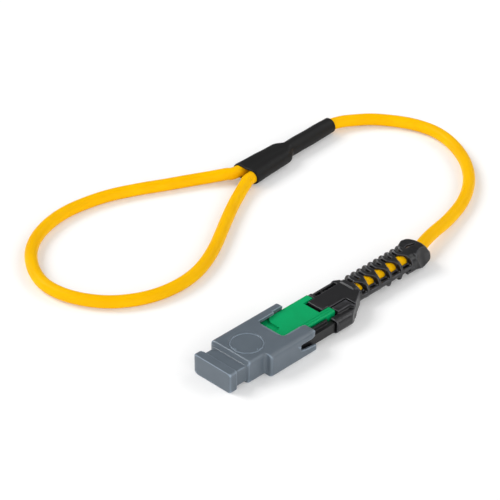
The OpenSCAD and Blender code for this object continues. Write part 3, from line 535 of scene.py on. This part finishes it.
def object_coords(tree, stretch=None):
    """Object coordinates, with X scaled by stretch for lines that are drawn along X."""
    coords = tree.nodes.new("ShaderNodeTexCoord").outputs["Object"]
    if stretch is None:
        return coords
    mapping = tree.nodes.new("ShaderNodeMapping")
    mapping.inputs["Scale"].default_value = (stretch, 1.0, 1.0)
    tree.links.new(coords, mapping.inputs["Vector"])
    return mapping.outputs["Vector"]


def add_noise(tree, coords, scale, detail=3.0, rough=0.55):
    node = tree.nodes.new("ShaderNodeTexNoise")
    node.inputs["Scale"].default_value = scale
    node.inputs["Detail"].default_value = detail
    node.inputs["Roughness"].default_value = rough
    tree.links.new(coords, node.inputs["Vector"])
    return node.outputs["Fac"]


def spread(tree, value, lo=0.0, hi=1.0, from_lo=0.3, from_hi=0.7):
    """The value, stretched to lie between lo and hi."""
    node = tree.nodes.new("ShaderNodeMapRange")
    node.inputs["From Min"].default_value = from_lo
    node.inputs["From Max"].default_value = from_hi
    node.inputs["To Min"].default_value = lo
    node.inputs["To Max"].default_value = hi
    tree.links.new(value, node.inputs["Value"])
    return node.outputs["Result"]


def mix_colours(tree, factor, a, b):
    """Colour from a at factor 0 to b at factor 1. Both are linear colours, and a may be a socket."""
    node = tree.nodes.new("ShaderNodeMix")
    node.data_type = "RGBA"
    if isinstance(a, bpy.types.NodeSocket):
        tree.links.new(a, node.inputs["A"])
    else:
        node.inputs["A"].default_value = a
    node.inputs["B"].default_value = b
    tree.links.new(factor, node.inputs["Factor"])
    return node.outputs["Result"]


def add_bump(tree, shader, height, strength, distance_mm):
    bump = tree.nodes.new("ShaderNodeBump")
    bump.inputs["Strength"].default_value = strength
    bump.inputs["Distance"].default_value = distance_mm * MM
    tree.links.new(height, bump.inputs["Height"])
    tree.links.new(bump.outputs["Normal"], shader.inputs["Normal"])
    return bump


def two_tone(tree, bsdf, value, dark, light):
    """Base colour that goes from one linear colour to another with the value."""
    tree.links.new(mix_colours(tree, spread(tree, value), dark, light), bsdf.inputs["Base Color"])


def moulded(name, dark, light, rough, grain, grain_scale=9000, round_mm=0.0, specular=0.5, edge_highlight=None):
    """Moulded plastic: faint flow shading and fine grain. Its edges are softened over round_mm, or,
    on a finely meshed piece, carry a painted highlight: where the surface bends sharply, its colour
    is painted towards a lighter one."""
    mat, tree, bsdf = material(name)
    coords = object_coords(tree)
    flow = add_noise(tree, coords, scale=260, detail=2.0)
    colour = mix_colours(tree, spread(tree, flow), linear(*dark), linear(*light))
    # Painted highlight: sharp bends, read from the pointiness, are painted towards the lighter edge
    # colour, as the glint that the edges would catch.
    if edge_highlight is not None:
        bend = tree.nodes.new("ShaderNodeNewGeometry").outputs["Pointiness"]
        highlight_share = spread(tree, bend, from_lo=0.51, from_hi=0.55)
        colour = mix_colours(tree, highlight_share, colour, linear(*edge_highlight))
    tree.links.new(colour, bsdf.inputs["Base Color"])
    patches = add_noise(tree, coords, scale=900, detail=4.0)
    tree.links.new(spread(tree, patches, *rough), bsdf.inputs["Roughness"])
    fine = add_noise(tree, coords, grain_scale, detail=2.0, rough=0.6)
    bump = add_bump(tree, bsdf, fine, strength=grain, distance_mm=0.01)
    if round_mm:
        edge = tree.nodes.new("ShaderNodeBevel")
        edge.samples = 6
        edge.inputs["Radius"].default_value = round_mm * MM
        tree.links.new(edge.outputs["Normal"], bump.inputs["Normal"])
    bsdf.inputs["Specular IOR Level"].default_value = specular
    return mat


def metal(name, colour, rough, scale):
    """Drawn or pressed metal with fine streaks."""
    mat, tree, bsdf = material(name)
    streaks = add_noise(tree, object_coords(tree, stretch=0.15), scale, detail=4.0)
    light = linear(*colour)
    dark = tuple(v * 0.8 for v in light[:3]) + (1.0,)
    two_tone(tree, bsdf, streaks, dark, light)
    tree.links.new(spread(tree, streaks, *rough), bsdf.inputs["Roughness"])
    add_bump(tree, bsdf, streaks, strength=0.3, distance_mm=0.01)
    bsdf.inputs["Metallic"].default_value = 1.0
    return mat


def jacket(name):
    """Extruded cable jacket: satin, with a faint grain and a slightly uneven tone."""
    mat, tree, bsdf = material(name)
    coords = object_coords(tree)
    tone = add_noise(tree, coords, scale=180)
    two_tone(tree, bsdf, tone, linear(236, 175, 0), linear(243, 185, 0))
    patches = add_noise(tree, coords, scale=1400)
    tree.links.new(spread(tree, patches, 0.36, 0.48), bsdf.inputs["Roughness"])
    add_bump(tree, bsdf, add_noise(tree, coords, scale=5000), strength=0.25, distance_mm=0.01)
    bsdf.inputs["Specular IOR Level"].default_value = 0.05
    bsdf.inputs["Subsurface Weight"].default_value = 0.05
    bsdf.inputs["Subsurface Radius"].default_value = (0.5 * MM, 0.25 * MM, 0.05 * MM)
    bsdf.inputs["Subsurface Scale"].default_value = 1.0
    return mat


def shrunk(name):
    """Shrunk tube: nearly matte black with long faint draw lines."""
    mat, tree, bsdf = material(name)
    coords = object_coords(tree, stretch=0.25)
    tone = add_noise(tree, coords, scale=500, detail=4.0)
    two_tone(tree, bsdf, tone, linear(9, 9, 10), linear(15, 15, 15))
    tree.links.new(spread(tree, tone, 0.48, 0.6), bsdf.inputs["Roughness"])
    lines = add_noise(tree, coords, scale=3500, detail=4.0)
    add_bump(tree, bsdf, lines, strength=0.4, distance_mm=0.02)
    bsdf.inputs["Specular IOR Level"].default_value = 0.24
    return mat


def glassy(name):
    """Clear coated fibre."""
    mat, tree, bsdf = material(name)
    tone = add_noise(tree, object_coords(tree), scale=2500, detail=2.0)
    two_tone(tree, bsdf, tone, linear(196, 220, 230), linear(226, 240, 244))
    tree.links.new(spread(tree, tone, 0.1, 0.2), bsdf.inputs["Roughness"])
    bsdf.inputs["Transmission Weight"].default_value = 0.35
    return mat


def yarn(name):
    """Aramid yarn lying along the cable."""
    mat, tree, bsdf = material(name)
    strands = add_noise(tree, object_coords(tree, stretch=0.05), scale=9000)
    two_tone(tree, bsdf, strands, linear(176, 140, 60), linear(232, 204, 120))
    tree.links.new(spread(tree, strands, 0.5, 0.75), bsdf.inputs["Roughness"])
    add_bump(tree, bsdf, strands, strength=0.8, distance_mm=0.04)
    bsdf.inputs["Sheen Weight"].default_value = 0.3
    return mat


# The cap's lighter edge colour is a painted highlight along its rounded edges.
CAP = moulded(
    "cap_plastic", dark=(84, 94, 103), light=(90, 100, 109), rough=(0.3, 0.36), grain=0.25,
    edge_highlight=(134, 148, 162))
GREEN = moulded(
    "green_plastic", dark=(0, 148, 87), light=(0, 158, 95), rough=(0.3, 0.4), grain=0.2,
    grain_scale=8000, round_mm=0.04, specular=0.13)
BLACK = moulded(
    "black_plastic", dark=(9, 9, 10), light=(14, 14, 16), rough=(0.27, 0.38), grain=0.35,
    round_mm=0.05, specular=0.42)
# The boot's lighter edge colour is a painted highlight along its rounded edges.
BOOT = moulded(
    "boot_plastic", dark=(12, 12, 14), light=(18, 18, 21), rough=(0.28, 0.4), grain=0.4,
    grain_scale=8000, specular=0.48, edge_highlight=(58, 58, 62))
FERRULE = moulded(
    "ferrule_plastic", dark=(34, 38, 36), light=(50, 54, 52), rough=(0.3, 0.5), grain=0.5,
    grain_scale=20000, round_mm=0.03)
RUBBER = moulded(
    "soft_rubber", dark=(26, 26, 27), light=(34, 34, 35), rough=(0.6, 0.75), grain=0.5,
    round_mm=0.03)
JACKET = jacket("cable_jacket")
SHRINK = shrunk("shrink_tube")
FIBRE = glassy("fibre")
SPRING = metal("spring_steel", colour=(200, 202, 206), rough=(0.2, 0.35), scale=6000)
BRASS = metal("crimp_brass", colour=(214, 180, 110), rough=(0.25, 0.4), scale=5000)
YARN = yarn("aramid")

LOOKS = {
    "dust_cap": CAP,
    "front_housing": GREEN,
    "ferrule": FERRULE,
    "fibre_ribbon": FIBRE,
    "ferrule_boot": RUBBER,
    "spring_seat": BLACK,
    "ferrule_spring": SPRING,
    "rear_body": BLACK,
    "latch_arm": BLACK,
    "aramid_yarn": YARN,
    "crimp_ring": BRASS,
    "push_pull_boot": BOOT,
    "cable_in_boot": JACKET,
    "cable_trunk": JACKET,
    "shrink_sleeve": SHRINK,
    "split_fibres": FIBRE,
    "cable_loop": JACKET,
}


def paint(obj, mat):
    obj.data.materials.clear()
    obj.data.materials.append(mat)


for name, mat in LOOKS.items():
    paint(nodes[name], mat)
for name, obj in SOFT.items():
    paint(obj, LOOKS[name])
paint(trunk, JACKET)
paint(loop, JACKET)
paint(sleeve, SHRINK)


# ---------- floor and light ----------

FLOOR_HALF = 3.0
# A hair below the object, which lies on Z = 0
FLOOR_Z = -0.01 * MM
FLOOR_PALE = 0.97
FLOOR_GLOW = 0.17

# Name, azimuth, elevation and width in degrees, and strength. Azimuth 0 lies on +X and 90 on +Y
SUNS = [
    ("key", 112, 42, 36, 1.95),
    ("right_back", 0, 38, 30, 0.45),
    ("right_box", 315, 36, 30, 0.52),
    ("side_card", 190, 14, 60, 1.4),
    ("front_card", 262, 12, 60, 1.75),
]
SUN_DISTANCE = 0.5
WORLD_STRENGTH = 0.26


def combine(tree, operation, a, b):
    """Maths on the socket a and on b, a socket or a number."""
    node = tree.nodes.new("ShaderNodeMath")
    node.operation = operation
    tree.links.new(a, node.inputs[0])
    if isinstance(b, bpy.types.NodeSocket):
        tree.links.new(b, node.inputs[1])
    else:
        node.inputs[1].default_value = b
    return node.outputs["Value"]


def floor_material():
    """Pale matte floor with a share of plain white that only the camera, gloss and glass see."""
    mat, tree, blend = material("floor", "ShaderNodeMixShader")
    diffuse = tree.nodes.new("ShaderNodeBsdfDiffuse")
    diffuse.inputs["Color"].default_value = (FLOOR_PALE, FLOOR_PALE, FLOOR_PALE, 1)
    glow = tree.nodes.new("ShaderNodeEmission")
    glow.inputs["Color"].default_value = (1, 1, 1, 1)
    glow.inputs["Strength"].default_value = 1.0
    rays = tree.nodes.new("ShaderNodeLightPath").outputs
    seen = rays["Is Camera Ray"]
    for ray in ("Is Glossy Ray", "Is Transmission Ray"):
        seen = combine(tree, "MAXIMUM", seen, rays[ray])
    tree.links.new(combine(tree, "MULTIPLY", seen, FLOOR_GLOW), blend.inputs["Fac"])
    tree.links.new(diffuse.outputs["BSDF"], blend.inputs[1])
    tree.links.new(glow.outputs["Emission"], blend.inputs[2])
    return mat


def make_floor():
    bm = bmesh.new()
    corners = [(-1, -1), (1, -1), (1, 1), (-1, 1)]
    bm.faces.new([bm.verts.new((x * FLOOR_HALF, y * FLOOR_HALF, FLOOR_Z)) for x, y in corners])
    floor = add_object("floor", bm, smooth=False)
    floor.data.materials.append(floor_material())
    return floor


def soft_sun(name, azimuth, elevation, width, strength):
    """Even light from a wide patch of sky."""
    data = bpy.data.lights.new(name, "SUN")
    data.angle = math.radians(width)
    data.energy = strength
    lamp = bpy.data.objects.new(name, data)
    az, el = math.radians(azimuth), math.radians(elevation)
    towards = Vector((math.cos(az) * math.cos(el), math.sin(az) * math.cos(el), math.sin(el)))
    lamp.location = towards * SUN_DISTANCE
    lamp.rotation_mode = "QUATERNION"
    lamp.rotation_quaternion = (-towards).to_track_quat("-Z", "Y")
    scene.collection.objects.link(lamp)


def light_world():
    world = bpy.data.worlds.new("world")
    scene.world = world
    world.use_nodes = True
    background = world.node_tree.nodes["Background"]
    background.inputs["Color"].default_value = (1, 1, 1, 1)
    background.inputs["Strength"].default_value = WORLD_STRENGTH


make_floor()
for sun in SUNS:
    soft_sun(*sun)
light_world()
scene.view_settings.view_transform = "Standard"
